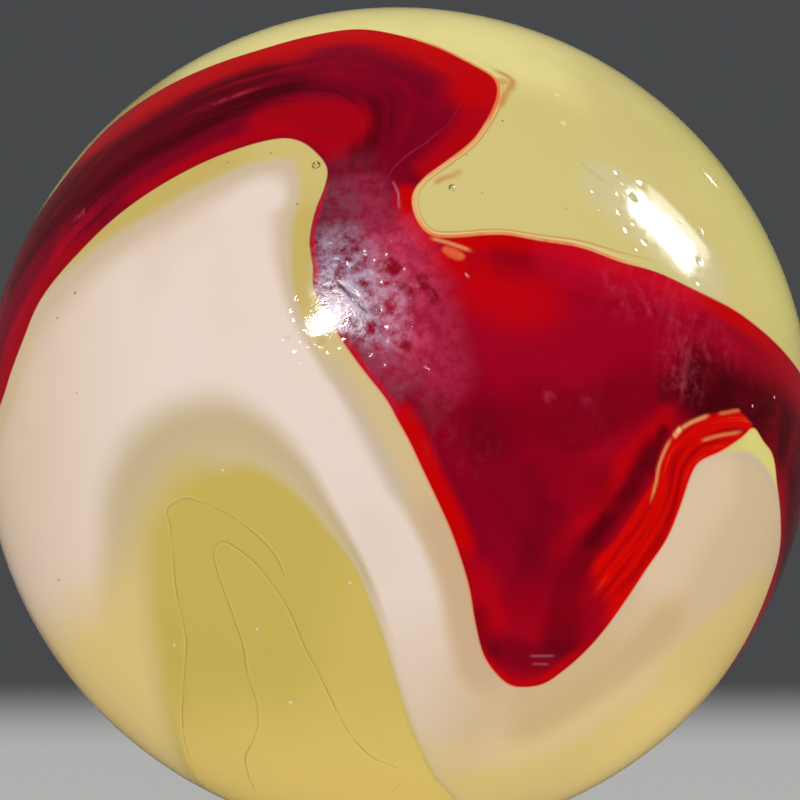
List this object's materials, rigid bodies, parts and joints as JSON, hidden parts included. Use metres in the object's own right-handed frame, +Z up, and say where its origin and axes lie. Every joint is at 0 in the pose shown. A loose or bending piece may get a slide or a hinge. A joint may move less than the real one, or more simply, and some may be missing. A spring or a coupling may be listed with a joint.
{
  "type": "glass marble",
  "caption": "Solid glass ball with a red swirl over custard-yellow and white glass, its skin pitted and scratched by play.",
  "frame": {"origin": "the ball's centre", "axes": "+Z up as the marble is shown, -Y towards the viewer and the red neck of the swirl, +X to the viewer's right"},
  "size_m": [0.016, 0.016, 0.016],
  "materials": {
    "swirl_glass": "gloss"
  },
  "bodies": {
    "root": {"marble": "swirl_glass"}
  },
  "joints": []
}
